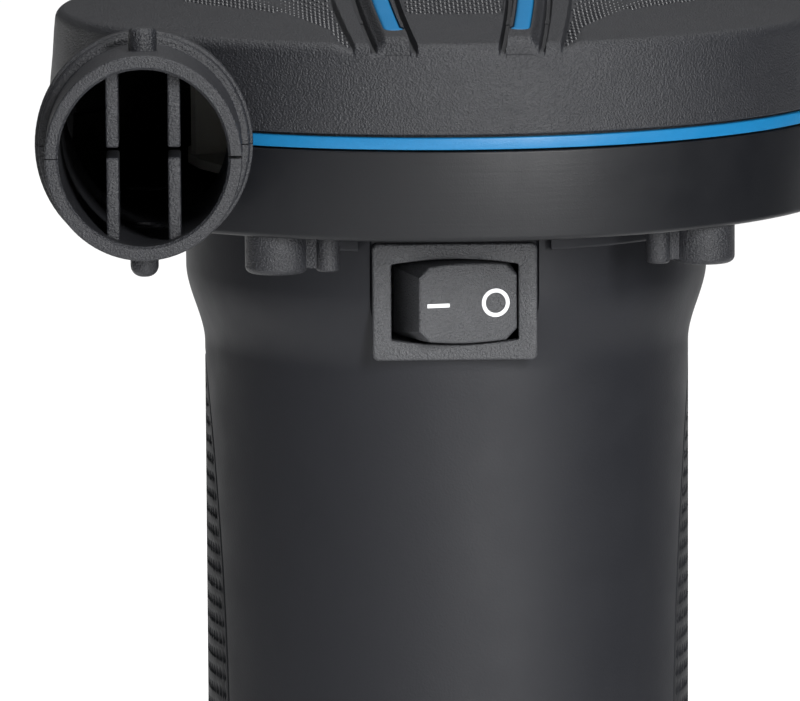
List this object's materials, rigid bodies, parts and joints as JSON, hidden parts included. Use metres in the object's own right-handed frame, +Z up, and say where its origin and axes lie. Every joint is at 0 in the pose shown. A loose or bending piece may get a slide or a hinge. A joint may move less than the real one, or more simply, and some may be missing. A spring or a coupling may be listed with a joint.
{
  "type": "battery air pump",
  "caption": "Handheld battery air pump with a round blower head, bayonet outlet nozzle, top intake port, rocker switch, side grips and twist-off battery cap.",
  "frame": {"origin": "centre of the cap's flat base, on the grip's axis", "axes": "+Z up along the grip's axis, -Y to the front where the switch and the outlet face, +X to the right seen from the front"},
  "size_m": [0.1047, 0.1169, 0.1885],
  "materials": {
    "charcoal_plastic": "fine spark-eroded texture",
    "satin_plastic": "smooth satin",
    "grip_rubber": "soft, pitted",
    "blue_plastic": "satin",
    "steel": "zinc plated",
    "brass": "plain",
    "black_plastic": "moulded",
    "magnet": "sintered ferrite and carbon",
    "copper": "enamelled copper windings",
    "pale_plastic": "moulded nylon",
    "cell_can": "plain printed can, no lettering",
    "wire_jacket": "flexible insulation"
  },
  "bodies": {
    "body": {"body_shell": "charcoal_plastic", "left_grip": "grip_rubber", "right_grip": "grip_rubber", "lower_volute": "satin_plastic", "accent_ring": "blue_plastic", "upper_volute": "charcoal_plastic", "front_left_insert": "blue_plastic", "front_right_insert": "blue_plastic", "back_left_insert": "blue_plastic", "back_right_insert": "blue_plastic", "intake_grille": "satin_plastic", "head_screw_1": "steel", "head_screw_2": "steel", "head_screw_3": "steel", "head_screw_4": "steel", "head_screw_5": "steel", "body_screw_1": "steel", "body_screw_2": "steel", "body_screw_3": "steel", "motor_screw_1": "steel", "motor_screw_2": "steel", "switch_housing": "charcoal_plastic", "switch_terminal_1": "brass", "switch_terminal_2": "brass", "motor_can": "steel", "motor_end_cap": "black_plastic", "rear_bearing": "brass", "front_bearing": "brass", "magnet_1": "magnet", "magnet_2": "magnet", "brush_1": "magnet", "brush_2": "magnet", "cell_1": "cell_can", "cell_2": "cell_can", "cell_3": "cell_can", "cell_4": "cell_can", "cell_5": "cell_can", "cell_6": "cell_can", "upper_contact": "brass", "return_strip": "brass", "switch_motor_lead": "wire_jacket", "battery_switch_lead": "wire_jacket", "battery_motor_lead": "wire_jacket"},
    "rotor": {"motor_shaft": "steel", "armature": "copper", "commutator": "copper", "impeller": "pale_plastic", "impeller_clip": "steel"},
    "switch_rocker": {"rocker": "charcoal_plastic"},
    "battery_door": {"battery_cap": "satin_plastic", "cap_contact": "brass", "contact_spring_1": "steel", "contact_spring_2": "steel", "contact_spring_3": "steel", "cap_seal": "grip_rubber"}
  },
  "joints": [
    {"name": "rotor_spin", "type": "hinge", "parent": "body", "child": "rotor", "pos_m": [0, 0, 0.155], "axis": [0, 0, 1], "continuous": true},
    {"name": "rocker_tilt", "type": "hinge", "parent": "body", "child": "switch_rocker", "pos_m": [0, -0.0269, 0.14], "axis": [0, 0, -1], "range_deg": [0, 24]},
    {"name": "cap_turn", "type": "hinge", "parent": "body", "child": "battery_door", "pos_m": [0, 0, 0.007], "axis": [0, 0, -1], "range_deg": [0, 45]}
  ]
}
